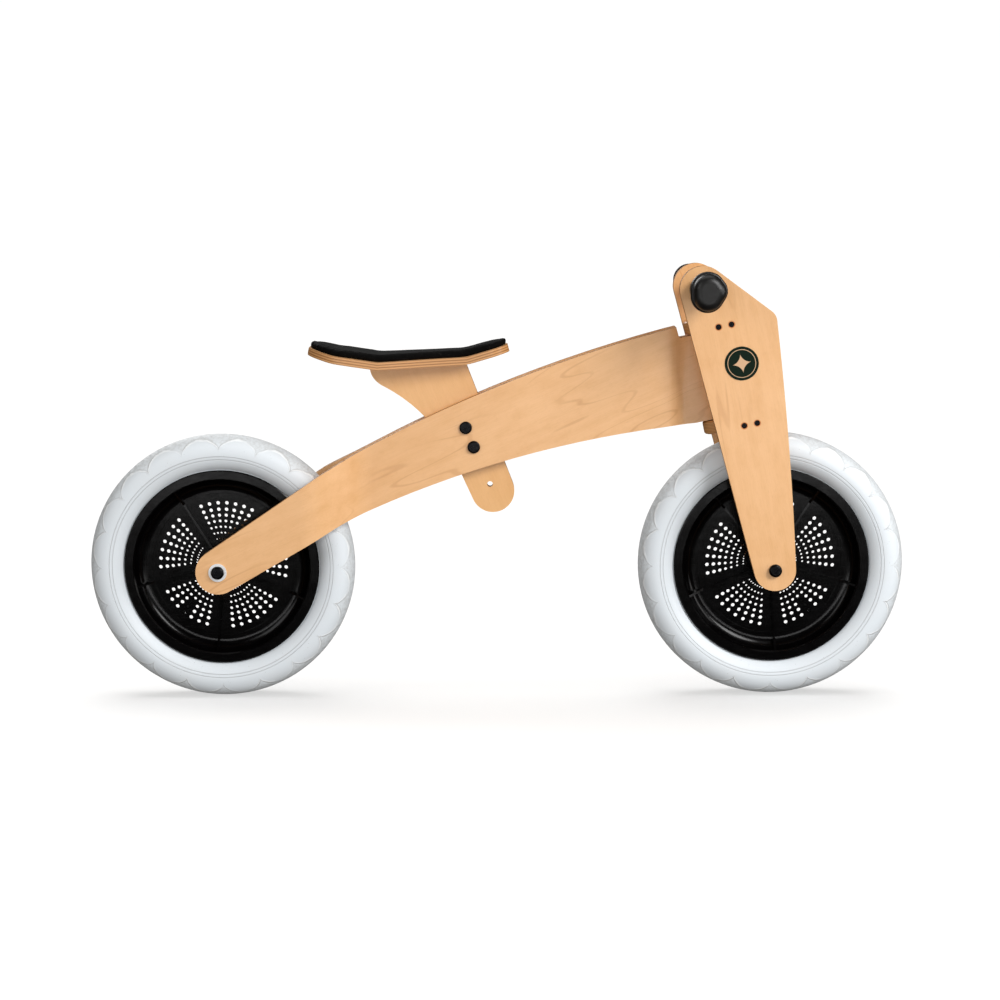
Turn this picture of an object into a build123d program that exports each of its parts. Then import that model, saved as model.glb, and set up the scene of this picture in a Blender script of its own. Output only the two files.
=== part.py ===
from build123d import *
import math
import os

# Child's plywood balance bike. Millimetres, +X forward, +Y to the rider's left, +Z up.
# Sizes along the bike are laid out from the rear axle; everything is moved at the end so
# that the origin is on the ground, midway between the two wheels.

# ---- wheels ----
WHEELBASE = 615.0
TYRE_R = 148.5            # outer radius of a 12 inch tyre
TYRE_W = 46.0             # widest width of the tyre
TREAD_W = 33.0            # width across the tread shoulders
TYRE_WALL = 3.2
RIM_LIP_R = 109.25        # outer radius of the rim's lips
RIM_BASE_R = 101.0        # outside of the rim's floor, where the beads sit
RIM_FLOOR = 3.0
RIM_HALF_W = 16.5
LIP_T = 2.6
WEB_T = 3.0               # perforated web
HUB_R = 21.0
HUB_HALF = 23.4           # half the length of the hub barrel
RIB_T = 2.4
RIB_H = 3.2               # rib's height above the web at the hub end
RIB_END_H = 1.6           # and near the rim
STEP_R = 79.5             # circular step outside the holes
STEP_W = 2.2
STEP_H = 1.4
DISH_R = 13.0             # fillet that joins the web to the rim
HOLE_RINGS = (70.6, 63.3, 56.6, 50.0, 43.35, 36.65, 29.75)
HOLE_DIAS = (4.2, 4.2, 3.8, 3.3, 2.8, 2.3, 1.8)
HOLE_STEPS = (7.98, 7.87, 7.67, 7.42, 7.08, 6.45, 5.6)   # degrees between columns, by ring
HOLE_COLUMNS = 7
SECTORS = 5
REAR_SECTOR = 13.65       # degrees, where the first sector of holes lies
FRONT_SECTOR = 21.56
REAR_VALVE = -131.0
FRONT_VALVE = -50.0
TUBE_R = 16.0             # section radius of the inflated tube
TUBE_WALL = 1.2
VALVE_R = 3.1
VALVE_Y = 6.5             # the stem stands beside the web
VALVE_TIP_R = 56.0        # distance of its tip from the axle

# ---- axles and bearings ----
AXLE_R = 6.0              # axle sleeve
AXLE_BOLT_R = 4.0
BEARING_R = 14.0
BEARING_W = 8.0
SPACER_R = 8.5
REAR_WASHER_R = 10.0
FRONT_WASHER_R = 6.6      # hidden behind the bolt's head
WASHER_T = 1.5
BOLT_HEAD_R = 7.2
BOLT_HEAD_H = 4.2
HEX_SOCKET = 5.0          # across flats
DROPOUT_GAP = 80.0        # between the two arms, and between the two fork planks

# ---- plywood ----
PLY = 12.0                # frame panels, fork planks, seat post
SEAT_PLY = 8.5

# ---- frame panel, side view ----
ARM_END_R = 24.5
ARM_TOP_ANGLE = 34.1
ARM_BOTTOM_ANGLE = 30.0
ARM_TOP_BEHIND = 36.0     # where the straight top edge ends, behind the tyre's front
ARM_BOTTOM_BEHIND = 18.5
TOP_BOW = 14.5
BOTTOM_BOW = 18.3
NOTCH_R = 30.5            # from the steering axis back to the tongue's root
NOTCH_H = 12.8
TONGUE_H = 96.0
TONGUE_NOSE = 22.0        # from the steering axis to the tongue's front edge
TONGUE_CORNER = 9.0

# ---- frame panel, top view ----
SPLAY_AHEAD = 4.2         # where the rear bend ends, ahead of the tyre's front
SPLAY_ANGLE = 38.0
SPLAY_BEND_R = 50.0
HEAD_BEND_BACK = 52.0     # from the steering axis back to the end of the front bend
HEAD_BEND_ANGLE = 22.0
HEAD_BEND_R = 30.0

# ---- steering ----
STEER_TILT = 11.5         # steering axis from the vertical, top rearwards
FORK_RAKE = 21.4          # front axle ahead of the steering axis
CROWN_GAP = 9.0           # lower block above the tyre
BLOCK_T = 15.0
BLOCK_NOSE_R = 22.5       # rounded rear end, concentric with the pivot
BLOCK_BACK = 8.0
BLOCK_FRONT = 48.0
BLOCK_EDGE = 3.0
THRUST_GAP = 1.0          # between a block and the tongue
BUSH_FLANGE_T = 0.9
BUSH_FLANGE_R = 13.0
BUSH_LEN = 12.0
PIVOT_R = 4.0
SLEEVE_R = 7.0
SLEEVE_BORE_R = 5.0
PIVOT_HEAD_R = 7.0
PIVOT_HEAD_H = 3.3
PIVOT_WASHER_R = 11.0
PIVOT_WASHER_T = 1.6
NUT_FLATS = 13.0
NUT_H = 8.0
PIVOT_PROUD = 2.0

# ---- fork planks and handlebar ----
PLANK_END_R = 23.0
PLANK_HEAD_R = 25.3
PLANK_CORNER_R = 15.0
PLANK_CORNER = (59.9, 14.5)   # ahead of the steering axis, below the upper block's top
PLANK_BOW = 2.5
BAR_AHEAD = 2.7
BAR_ABOVE = 33.7              # above the upper block
BAR_R = 11.0
GRIP_SLEEVE_R = 15.0
GRIP_LEN = 64.0               # between the plank and the grip's end flange
GRIP_FLANGE_T = 8.0
GRIP_CAP_T = 16.0
GRIP_LOBES = ((-1.2, 3.5, 18.3), (-1.8, -4.0, 17.5), (4.0, 1.3, 15.5))
GRIP_CAP_INSET = 2.2
SCREW_HEAD_R = 2.9
SCREW_HEAD_H = 3.0
SCREW_R = 2.0
SCREW_LEN = 24.0
SCREW_SUNK = 1.5
SCREW_PITCH = 14.3
UPPER_SCREWS = (18.3, 5.4)    # ahead of the axis, above the block's underside
LOWER_SCREWS = (25.4, 7.0)
BADGE_R = 18.5
BADGE_T = 0.4
BADGE_AT = (28.3, 232.0)      # ahead of the axis, above the front axle along the axis

# ---- seat ----
POST_X = 278.5            # mid of the two seat bolts, ahead of the rear axle
POST_SET_LOW = 2.6        # below the middle of the panel there
POST_LEAN = 22.4          # from the vertical, top rearwards
HOLE_PITCH = 23.3
HOLE_NUMBERS = (1.5, 0.5, -0.5, -1.5, -2.5)
POST_HOLE_R = 3.15
POST_END_R = 24.0
POST_END_DOWN = 66.5
POST_HALF_TOP = 27.6
SEAT_BOLT_R = 3.0
SEAT_HEAD_R = 7.0
SEAT_HEAD_H = 3.0
SLEEVE_NUT_R = 4.2
SLEEVE_NUT_LEN = 12.0
SEAT_LINE = ((-179.5, 92.0), (-150.5, 84.0), (-100.5, 76.3), (-2.5, 81.0), (44.5, 94.6))
SEAT_BENDS = (70.0, 45.0, 70.0)
SEAT_WIDTHS = (82.0, 60.0, 50.0)   # rear, waist, nose
PAD_T = 7.3
PAD_INSET = 3.5
SEAT_SCREW_AT = (-72.0, -28.0)     # ahead of the seat bolts' middle

# ---- clearances ----
FIT = 0.05                # radial, a shaft or sleeve in its own body's bore
RUN = 0.05                # radial, running fit
FACE_GAP = 0.15           # beside a rotating face
SOFT_GAP = 0.3            # round a soft part

AXLE_Z = TYRE_R
IN_Y = DROPOUT_GAP / 2
OUT_Y = IN_Y + PLY
TILT = math.radians(STEER_TILT)


def steer_xz(r, s):
    """Side-view point r ahead of the steering axis and s above the front axle along it."""
    dr = r - FORK_RAKE
    return (WHEELBASE + dr * math.cos(TILT) - s * math.sin(TILT),
            AXLE_Z + dr * math.sin(TILT) + s * math.cos(TILT))


LOWER_S = TYRE_R + CROWN_GAP                 # underside of the lower block
TONGUE_S = LOWER_S + BLOCK_T + THRUST_GAP
TONGUE_TOP_S = TONGUE_S + TONGUE_H
UPPER_S = TONGUE_TOP_S + THRUST_GAP
UPPER_TOP_S = UPPER_S + BLOCK_T
BAR_S = UPPER_TOP_S + BAR_ABOVE


# ---------------------------------------------------------------- helpers
def tangent(c1, r1, c2, r2, side):
    """Ends of the outer tangent of two circles, on the left (+1) or right (-1) of c1 to c2."""
    dx, dz = c2[0] - c1[0], c2[1] - c1[1]
    a = math.atan2(dz, dx) + side * math.acos((r1 - r2) / math.hypot(dx, dz))
    n = (math.cos(a), math.sin(a))
    return ((c1[0] + r1 * n[0], c1[1] + r1 * n[1]), (c2[0] + r2 * n[0], c2[1] + r2 * n[1]))


def bowed(a, b, bow):
    """Arc from a to b whose middle stands bow to the left of the chord."""
    dx, dz = b[0] - a[0], b[1] - a[1]
    d = math.hypot(dx, dz)
    mid = ((a[0] + b[0]) / 2 - bow * dz / d, (a[1] + b[1]) / 2 + bow * dx / d)
    return ThreePointArc(a, mid, b)


def arc_z(a, b, bow, x):
    """Height at x of the shallow arc bowed(a, b, bow)."""
    dx, dz = b[0] - a[0], b[1] - a[1]
    d = math.hypot(dx, dz)
    radius = d * d / (8 * abs(bow)) + abs(bow) / 2
    side = math.copysign(1, bow)
    h = radius - abs(bow)
    cx = (a[0] + b[0]) / 2 + side * h * dz / d
    cz = (a[1] + b[1]) / 2 - side * h * dx / d
    return cz + side * math.sqrt(radius ** 2 - (x - cx) ** 2)


def rounded(points, radii, closed=True):
    """Edges of a polygon or open path whose corners have the given radii."""
    n = len(points)
    cuts = []
    for i, (p, r) in enumerate(zip(points, radii)):
        if r == 0 or (not closed and i in (0, n - 1)):
            cuts.append((p, None, p))
            continue
        q0, q1 = points[i - 1], points[(i + 1) % n]
        u0 = Vector(q0[0] - p[0], q0[1] - p[1]).normalized()
        u1 = Vector(q1[0] - p[0], q1[1] - p[1]).normalized()
        half = math.acos(max(-1, min(1, u0.dot(u1)))) / 2
        t = r / math.tan(half)
        bis = (u0 + u1).normalized()
        c = Vector(*p) + bis * (r / math.sin(half))
        mid = c - bis * r
        a, b = Vector(*p) + u0 * t, Vector(*p) + u1 * t
        cuts.append(((a.X, a.Y), (mid.X, mid.Y), (b.X, b.Y)))
    edges = []
    for i, (a, mid, b) in enumerate(cuts):
        if mid:
            edges.append(ThreePointArc(a, mid, b))
        if i < n - 1 or closed:
            nxt = cuts[(i + 1) % n][0]
            if math.hypot(nxt[0] - b[0], nxt[1] - b[1]) > 1e-6:
                edges.append(Line(b, nxt))
    return edges


def face_of(edges):
    return make_face(Curve() + edges)


def side_plane(y):
    """Side-view plane at y: local x is X, local y is Z, and the normal is -Y."""
    return Plane(origin=(0, y, 0), x_dir=(1, 0, 0), z_dir=(0, -1, 0))


def slab(face, y0, y1):
    """Side-view face made solid between y0 and y1."""
    return extrude(side_plane(y1) * face, amount=y1 - y0)


def pin(xz, r, y0, y1):
    return slab(Pos(xz[0], xz[1]) * Circle(r), y0, y1)


def spun(edges, xz):
    """Solid of revolution round a wheel's axle from edges drawn as (radius, y)."""
    return Pos(xz[0], 0, xz[1]) * revolve(face_of(edges), Axis.Y, 360)


def poly(points):
    return [Line(points[i], points[(i + 1) % len(points)]) for i in range(len(points))]


def mirrored(shape):
    return mirror(shape, about=Plane.XZ)


STEER = Plane(origin=(steer_xz(0, 0)[0], 0, steer_xz(0, 0)[1]),
              x_dir=(math.cos(TILT), 0, math.sin(TILT)),
              z_dir=(-math.sin(TILT), 0, math.cos(TILT)))


def on_axis(face, s0, s1):
    """Face drawn square to the steering axis, made solid from s0 to s1 along it."""
    return extrude(STEER.offset(s0) * face, amount=s1 - s0)


# ---------------------------------------------------------------- side-view layout
REAR = (0.0, AXLE_Z)
FRONT = (WHEELBASE, AXLE_Z)


def arm_point(angle, x, side):
    """Point at x on the line tangent to the arm's round end, rising at the given angle."""
    a = math.radians(angle)
    off = side * ARM_END_R / math.cos(a)
    return (x, AXLE_Z + off + x * math.tan(a))


ARM_TOP = arm_point(ARM_TOP_ANGLE, TYRE_R - ARM_TOP_BEHIND, 1)
ARM_BOTTOM = arm_point(ARM_BOTTOM_ANGLE, TYRE_R - ARM_BOTTOM_BEHIND, -1)
NOTCH_TOP = steer_xz(-NOTCH_R - 1.0, TONGUE_TOP_S + NOTCH_H)
NOTCH_ROOT = steer_xz(-NOTCH_R, TONGUE_TOP_S)
TONGUE_ROOT = steer_xz(-NOTCH_R, TONGUE_S)


def panel_mid_z(x):
    return (arc_z(ARM_TOP, NOTCH_TOP, TOP_BOW, x) + arc_z(ARM_BOTTOM, TONGUE_ROOT, BOTTOM_BOW, x)) / 2


SEAT_MID = (POST_X, panel_mid_z(POST_X) - POST_SET_LOW)
LEAN = math.radians(POST_LEAN)


def post_xz(r, s):
    """Side-view point in the seat post's own lean, r ahead of its hole row, s above the bolts' middle."""
    return (SEAT_MID[0] + r * math.cos(LEAN) - s * math.sin(LEAN),
            SEAT_MID[1] + r * math.sin(LEAN) + s * math.cos(LEAN))


SEAT_BOLTS = [post_xz(0, k * HOLE_PITCH) for k in (0.5, -0.5)]


# ---------------------------------------------------------------- frame
def panel_outline():
    t0 = tangent(REAR, ARM_END_R, ARM_TOP, 0.001, 1)[0]
    b0 = tangent(REAR, ARM_END_R, ARM_BOTTOM, 0.001, -1)[0]
    nose_low, nose_high = steer_xz(TONGUE_NOSE, TONGUE_S), steer_xz(TONGUE_NOSE, TONGUE_TOP_S)
    head = rounded([TONGUE_ROOT, nose_low, nose_high, NOTCH_ROOT, NOTCH_TOP],
                   [0, TONGUE_CORNER, TONGUE_CORNER, 3.0, 0], closed=False)
    return face_of([Line(b0, ARM_BOTTOM), bowed(ARM_BOTTOM, TONGUE_ROOT, BOTTOM_BOW), *head,
                    bowed(NOTCH_TOP, ARM_TOP, -TOP_BOW), Line(ARM_TOP, t0),
                    ThreePointArc(t0, (-ARM_END_R, AXLE_Z), b0)])


def bend_run(offset, angle, radius):
    """Length along the bike of an S-bend that shifts the ply sideways by offset."""
    a = math.radians(angle)
    return 2 * radius * math.tan(a / 2) + offset / math.tan(a)


def panel_strip():
    """Top view of the right-hand panel's ply: arm, splay, middle run, head bend, tongue."""
    arm_y, mid_y, head_y = -(IN_Y + PLY / 2), -PLY, -PLY / 2
    a, b = math.radians(SPLAY_ANGLE), math.radians(HEAD_BEND_ANGLE)
    x2 = TYRE_R + SPLAY_AHEAD
    x1 = x2 - (mid_y - arm_y) / math.tan(a)
    x4 = steer_xz(0, TONGUE_TOP_S)[0] - HEAD_BEND_BACK * 0.5
    x3 = x4 - (head_y - mid_y) / math.tan(b)
    line = [(-2 * ARM_END_R, arm_y), (x1, arm_y), (x2, mid_y), (x3, mid_y), (x4, head_y),
            (WHEELBASE, head_y)]
    bends = [0, SPLAY_BEND_R, SPLAY_BEND_R, HEAD_BEND_R, HEAD_BEND_R, 0]
    turns = [0, 1, -1, 1, -1, 0]
    sides = []
    for side in (1, -1):
        pts = []
        for i, p in enumerate(line):
            d0 = Vector(*p) - Vector(*line[i - 1]) if i else Vector(*line[1]) - Vector(*p)
            d1 = Vector(*line[i + 1]) - Vector(*p) if i < len(line) - 1 else d0
            n0, n1 = Vector(-d0.Y, d0.X).normalized(), Vector(-d1.Y, d1.X).normalized()
            m = (n0 + n1) * (side * PLY / 2 / (1 + n0.dot(n1)))
            pts.append((p[0] + m.X, p[1] + m.Y))
        radii = [r - side * t * PLY / 2 if r else 0 for r, t in zip(bends, turns)]
        sides.append((pts, radii))
    (left, left_r), (right, right_r) = sides
    return face_of(rounded(left + right[::-1], left_r + right_r[::-1]))


def frame_panel():
    strip = extrude(panel_strip(), amount=3 * TYRE_R + TONGUE_H)
    body = slab(panel_outline(), -OUT_Y - 1, 1) & strip
    body -= pin(REAR, AXLE_BOLT_R + 0.2, -OUT_Y - 1, 0)
    for xz in SEAT_BOLTS:
        body -= pin(xz, SLEEVE_NUT_R + FIT, -PLY * 2, 0)
    body -= on_axis(Circle(SLEEVE_R + FIT), TONGUE_S - 5, TONGUE_TOP_S + 5)
    return body.solids().sort_by(SortBy.VOLUME)[-1]


def steering_sleeve():
    return on_axis(Circle(SLEEVE_R) - Circle(SLEEVE_BORE_R + FIT), TONGUE_S + 0.2, TONGUE_TOP_S - 0.2)


def steering_bush(upper):
    ring = Circle(BUSH_FLANGE_R) - Circle(PIVOT_R + RUN)
    neck = Circle(SLEEVE_BORE_R) - Circle(PIVOT_R + RUN)
    if upper:
        return on_axis(ring, TONGUE_TOP_S, TONGUE_TOP_S + BUSH_FLANGE_T) + \
            on_axis(neck, TONGUE_TOP_S - BUSH_LEN, TONGUE_TOP_S)
    return on_axis(ring, TONGUE_S - BUSH_FLANGE_T, TONGUE_S) + on_axis(neck, TONGUE_S, TONGUE_S + BUSH_LEN)


# ---------------------------------------------------------------- seat
def seat_line(lift, start=0.0, end=0.0):
    """Side-view path of the seat's underside, lifted square to it, with its ends cut back."""
    pts = [(SEAT_MID[0] + x, SEAT_MID[1] + z) for x, z in SEAT_LINE]
    out = []
    for i, p in enumerate(pts):
        d0 = Vector(*p) - Vector(*pts[i - 1]) if i else Vector(*pts[1]) - Vector(*p)
        d1 = Vector(*pts[i + 1]) - Vector(*p) if i < len(pts) - 1 else d0
        n0, n1 = Vector(-d0.Y, d0.X).normalized(), Vector(-d1.Y, d1.X).normalized()
        m = (n0 + n1) * (lift / (1 + n0.dot(n1)))
        cut = d1.normalized() * start if i == 0 else d0.normalized() * -end if i == len(pts) - 1 else Vector()
        out.append((p[0] + m.X + cut.X, p[1] + m.Y + cut.Y))
    return out


def seat_band(low, high, start=0.0, end=0.0):
    """Side-view face between two lifts above the seat's underside."""
    lo = [0] + [r - low for r in SEAT_BENDS] + [0]     # every bend is hollow from above
    hi = [0] + [r - high for r in SEAT_BENDS] + [0]
    return face_of(rounded(seat_line(low, start, end) + seat_line(high, start, end)[::-1],
                           lo + hi[::-1]))


def seat_plan(inset):
    """Top view of the seat: a broad rear, a waist and a narrower nose."""
    x0, x1 = SEAT_MID[0] + SEAT_LINE[0][0] + inset, SEAT_MID[0] + SEAT_LINE[-1][0] - inset
    w0, w1, w2 = [w / 2 - inset for w in SEAT_WIDTHS]
    xr = x0 + SEAT_WIDTHS[0] * 0.5
    xw = x0 + 0.56 * (x1 - x0)
    xn = x1 - SEAT_WIDTHS[2] * 0.5
    half = [(xr, w0), (xw, w1), (xn, w2)]
    side = Spline([(xr, w0), (xw, w1), (xn, w2)], tangents=[(1, 0), (1, 0)])
    other = Spline([(x, -y) for x, y in half][::-1], tangents=[(-1, 0), (-1, 0)])
    return face_of([ThreePointArc((xr, -w0), (x0, 0), (xr, w0)), side,
                    ThreePointArc((xn, w2), (x1, 0), (xn, -w2)), other])


def seat_layer(low, high, inset):
    wide = max(SEAT_WIDTHS)
    return slab(seat_band(low, high), -wide, wide) & extrude(seat_plan(inset), amount=5 * TYRE_R)


def seat_plank():
    plank = seat_layer(0, SEAT_PLY, 0)
    for x, z, tilt in seat_screw_spots():
        plank -= Pos(x, 0, z) * Rot(0, -tilt, 0) * Pos(0, 0, -SEAT_PLY) * \
            Cylinder(SCREW_R + FIT, 4 * SEAT_PLY)
        plank -= Pos(x, 0, z) * Rot(0, -tilt, 0) * Pos(0, 0, SEAT_PLY - SCREW_HEAD_H / 2) * \
            Cylinder(SCREW_HEAD_R + FIT, SCREW_HEAD_H)
    return plank


def seat_screw_spots():
    """Feet of the two seat screws on the seat's underside, and the slope there in degrees."""
    (xa, za), (xb, zb) = SEAT_LINE[2], SEAT_LINE[3]
    slope = (zb - za) / (xb - xa)
    return [(SEAT_MID[0] + x, SEAT_MID[1] + za + (x - xa) * slope, math.degrees(math.atan(slope)))
            for x in SEAT_SCREW_AT]


def seat_screw(spot):
    x, z, tilt = spot
    head = Pos(0, 0, SEAT_PLY - SCREW_HEAD_H / 2 - 0.1) * Cylinder(SCREW_HEAD_R, SCREW_HEAD_H - 0.2)
    top = SEAT_PLY - SCREW_HEAD_H
    shank = Pos(0, 0, (top - SCREW_LEN) / 2) * Cylinder(SCREW_R, SCREW_LEN + top)
    drive = Pos(0, 0, SEAT_PLY - 1.0) * extrude(RegularPolygon(1.6, 6), amount=2)
    return Pos(x, 0, z) * Rot(0, -tilt, 0) * (head + shank - drive)


def seat_pad():
    return seat_layer(SEAT_PLY + SOFT_GAP, SEAT_PLY + SOFT_GAP + PAD_T, PAD_INSET)


def seat_post():
    end = post_xz(0, -POST_END_DOWN)
    front_top = post_xz(POST_HALF_TOP, 74 + SEAT_PLY)
    f_end = tangent(end, POST_END_R, front_top, 0.001, -1)[0]
    root = post_xz(-POST_END_R - 2.0, -12.0)
    r_end = tangent(end, POST_END_R, root, 0.001, 1)[0]
    mx, mz = SEAT_MID
    lobe_low, lobe_mid, lobe_top = (mx - 98.0, mz + 57.5), (mx - 107.6, mz + 66.9), (mx - 111.0, mz + 90.0)
    low = post_xz(0, -POST_END_DOWN - POST_END_R)
    face = face_of([Line(r_end, root), ThreePointArc(root, (mx - 61.0, mz + 32.5), lobe_low),
                    Spline([lobe_low, lobe_mid, lobe_top], tangents=[(-0.86, 0.52), (0, 1)]),
                    Line(lobe_top, (front_top[0], lobe_top[1] + 12)),
                    Line((front_top[0], lobe_top[1] + 12), front_top), Line(front_top, f_end),
                    ThreePointArc(f_end, low, r_end)])
    body = slab(face, -PLY / 2, PLY / 2)
    over = seat_line(0)
    cap = face_of(poly([over[0], over[1], over[2], over[3], over[4],
                        (over[4][0], over[4][1] + 80), (over[0][0], over[0][1] + 80)]))
    body -= slab(cap, -PLY, PLY)
    for k in HOLE_NUMBERS:
        r = SLEEVE_NUT_R + FIT if abs(k) == 0.5 else POST_HOLE_R
        body -= pin(post_xz(0, k * HOLE_PITCH), r, -PLY, PLY)
    for x, z, tilt in seat_screw_spots():
        body -= Pos(x, 0, z) * Rot(0, -tilt, 0) * Pos(0, 0, -SCREW_LEN / 2) * \
            Cylinder(SCREW_R + FIT, SCREW_LEN + 2)
    return body.solids().sort_by(SortBy.VOLUME)[-1]


def button_head(xz, y, h, r, out, flats):
    """Low domed head whose flat side is at y and whose top looks along out (+1 or -1 in Y)."""
    head = pin(xz, r, min(y, y + out * h), max(y, y + out * h))
    rim = head.edges().filter_by(GeomType.CIRCLE).sort_by(Axis.Y)[-1 if out > 0 else 0]
    head = fillet(rim, h * 0.6)
    socket = Pos(xz[0], xz[1]) * RegularPolygon(flats / math.sqrt(3), 6)
    tip = y + out * h
    return head - slab(socket, min(tip, tip - out * h * 0.6), max(tip, tip - out * h * 0.6))


def seat_bolt(xz):
    """Bolt from the right-hand side; it threads into the sleeve nut."""
    y = -PLY * 1.5
    return button_head(xz, y, SEAT_HEAD_H, SEAT_HEAD_R, -1, 4.0) + pin(xz, SEAT_BOLT_R, y, PLY * 1.2)


def seat_nut(xz):
    """Sleeve nut from the left-hand side, long enough to line both panels and the post."""
    y = PLY * 1.5
    body = button_head(xz, y, SEAT_HEAD_H, SEAT_HEAD_R, 1, 4.0) + pin(xz, SLEEVE_NUT_R, -y + 0.5, y)
    return body - pin(xz, SEAT_BOLT_R + FIT, -y, PLY * 1.2 + 0.5)


# ---------------------------------------------------------------- fork
def plank_outline():
    axle, bar = FRONT, steer_xz(BAR_AHEAD, BAR_S)
    corner = steer_xz(PLANK_CORNER[0], UPPER_TOP_S - PLANK_CORNER[1])
    front_low, front_high = tangent(axle, PLANK_END_R, corner, PLANK_CORNER_R, -1)
    top_front, top_rear = tangent(corner, PLANK_CORNER_R, bar, PLANK_HEAD_R, -1)
    rear_high, rear_low = tangent(bar, PLANK_HEAD_R, axle, PLANK_END_R, -1)

    def arc(c, r, a, b):
        mid = Vector((a[0] + b[0]) / 2 - c[0], (a[1] + b[1]) / 2 - c[1]).normalized() * r
        return ThreePointArc(a, (c[0] + mid.X, c[1] + mid.Y), b)

    return face_of([bowed(front_low, front_high, -PLANK_BOW), arc(corner, PLANK_CORNER_R, front_high, top_front),
                    Line(top_front, top_rear), arc(bar, PLANK_HEAD_R, top_rear, rear_high),
                    Line(rear_high, rear_low), arc(axle, PLANK_END_R, rear_low, front_low)])


def screw_spots():
    spots = []
    for (ahead, up), s in ((UPPER_SCREWS, UPPER_S), (LOWER_SCREWS, LOWER_S)):
        spots += [steer_xz(ahead + d * SCREW_PITCH / 2, s + up) for d in (-1, 1)]
    return spots


def fork_plank():
    body = slab(plank_outline(), -OUT_Y, -IN_Y)
    body -= pin(FRONT, AXLE_BOLT_R + 0.2, -OUT_Y - 1, 0)
    body -= pin(steer_xz(BAR_AHEAD, BAR_S), BAR_R + FIT, -OUT_Y - 1, 0)
    for xz in screw_spots():
        body -= pin(xz, SCREW_R + 0.2, -OUT_Y - 1, 0)
        body -= pin(xz, SCREW_HEAD_R + 0.3, -OUT_Y - 1, -OUT_Y + SCREW_SUNK + SCREW_HEAD_H)
    return body


def fork_screw(xz):
    y = -OUT_Y + SCREW_SUNK
    head = pin(xz, SCREW_HEAD_R, y, y + SCREW_HEAD_H)
    head -= slab(Pos(xz[0], xz[1]) * RegularPolygon(1.7, 6), y - 1, y + 1.8)
    return head + pin(xz, SCREW_R, y + SCREW_HEAD_H, y + SCREW_HEAD_H + SCREW_LEN)


def steering_block(s):
    plan = Pos((BLOCK_FRONT - BLOCK_BACK) / 2, 0) * Rectangle(BLOCK_FRONT + BLOCK_BACK, DROPOUT_GAP)
    nose = on_axis(Circle(BLOCK_NOSE_R), s, s + BLOCK_T)
    rims = nose.edges().filter_by(GeomType.CIRCLE)
    body = on_axis(plan, s, s + BLOCK_T) + fillet(rims, BLOCK_EDGE)
    body -= on_axis(Circle(PIVOT_R + 2 * FIT), s - 1, s + BLOCK_T + 1)
    for xz in screw_spots():
        y = OUT_Y - SCREW_SUNK - SCREW_HEAD_H - SCREW_LEN - 1
        for hole in (pin(xz, SCREW_R + FIT, -IN_Y - 1, -y), pin(xz, SCREW_R + FIT, y, IN_Y + 1)):
            body -= hole
    return body.solids().sort_by(SortBy.VOLUME)[-1]


def pivot_bolt():
    base = LOWER_S - PIVOT_WASHER_T
    head = on_axis(Circle(PIVOT_HEAD_R), base - PIVOT_HEAD_H, base)
    foot = head.faces().sort_by(Axis.Z)[0].edges()
    head = fillet(foot, PIVOT_HEAD_H * 0.6)
    head -= on_axis(RegularPolygon(HEX_SOCKET / math.sqrt(3), 6), base - PIVOT_HEAD_H, base - PIVOT_HEAD_H * 0.4)
    return head + on_axis(Circle(PIVOT_R), base, UPPER_TOP_S + NUT_H + PIVOT_PROUD)


def pivot_washer():
    return on_axis(Circle(PIVOT_WASHER_R) - Circle(PIVOT_R + 2 * FIT), LOWER_S - PIVOT_WASHER_T, LOWER_S)


def pivot_nut():
    hexagon = RegularPolygon(NUT_FLATS / math.sqrt(3), 6)
    return on_axis(hexagon - Circle(PIVOT_R + FIT), UPPER_TOP_S, UPPER_TOP_S + NUT_H)


BAR_XZ = steer_xz(BAR_AHEAD, BAR_S)
GRIP_FLANGE_Y = OUT_Y + SOFT_GAP + GRIP_LEN
GRIP_CAP_Y = GRIP_FLANGE_Y + GRIP_FLANGE_T
BAR_END_Y = GRIP_CAP_Y


def handlebar():
    return pin(BAR_XZ, BAR_R, -BAR_END_Y, BAR_END_Y)


def grip():
    """Right-hand grip: a sleeve, a broad end flange and a domed cap over the bar's end."""
    def lobes(inset):
        rings = [Pos(BAR_XZ[0] + x, BAR_XZ[1] + z) * Circle(r - inset) for x, z, r in GRIP_LOBES]
        return make_hull([e for ring in rings for e in ring.edges()])

    flange = slab(lobes(0), -GRIP_CAP_Y, -GRIP_FLANGE_Y)
    flange = fillet(flange.faces().sort_by(Axis.Y)[0].edges(), 2.5)
    cap = slab(lobes(GRIP_CAP_INSET), -GRIP_CAP_Y - GRIP_CAP_T, -GRIP_CAP_Y)
    cap = fillet(cap.faces().sort_by(Axis.Y)[0].edges(), min(r for _, _, r in GRIP_LOBES) * 0.6)
    sleeve = pin(BAR_XZ, GRIP_SLEEVE_R, -GRIP_FLANGE_Y, -OUT_Y - SOFT_GAP)
    body = flange + cap + sleeve
    return body - pin(BAR_XZ, BAR_R + FIT, -BAR_END_Y - SOFT_GAP, 0)


def badge():
    return pin(steer_xz(*BADGE_AT), BADGE_R, -OUT_Y - BADGE_T, -OUT_Y)


# ---------------------------------------------------------------- axles
def axle_sleeve(xz):
    return pin(xz, AXLE_R, -IN_Y, IN_Y) - pin(xz, AXLE_BOLT_R + FIT, -IN_Y, IN_Y)


def hub_spacer(xz):
    ring = pin(xz, SPACER_R, -IN_Y, -HUB_HALF - FACE_GAP)
    return ring - pin(xz, AXLE_R + FIT, -IN_Y, -HUB_HALF - FACE_GAP)


def axle_washer(xz, r):
    return pin(xz, r, -OUT_Y - WASHER_T, -OUT_Y) - pin(xz, AXLE_BOLT_R + 0.2, -OUT_Y - WASHER_T, -OUT_Y)


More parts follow.
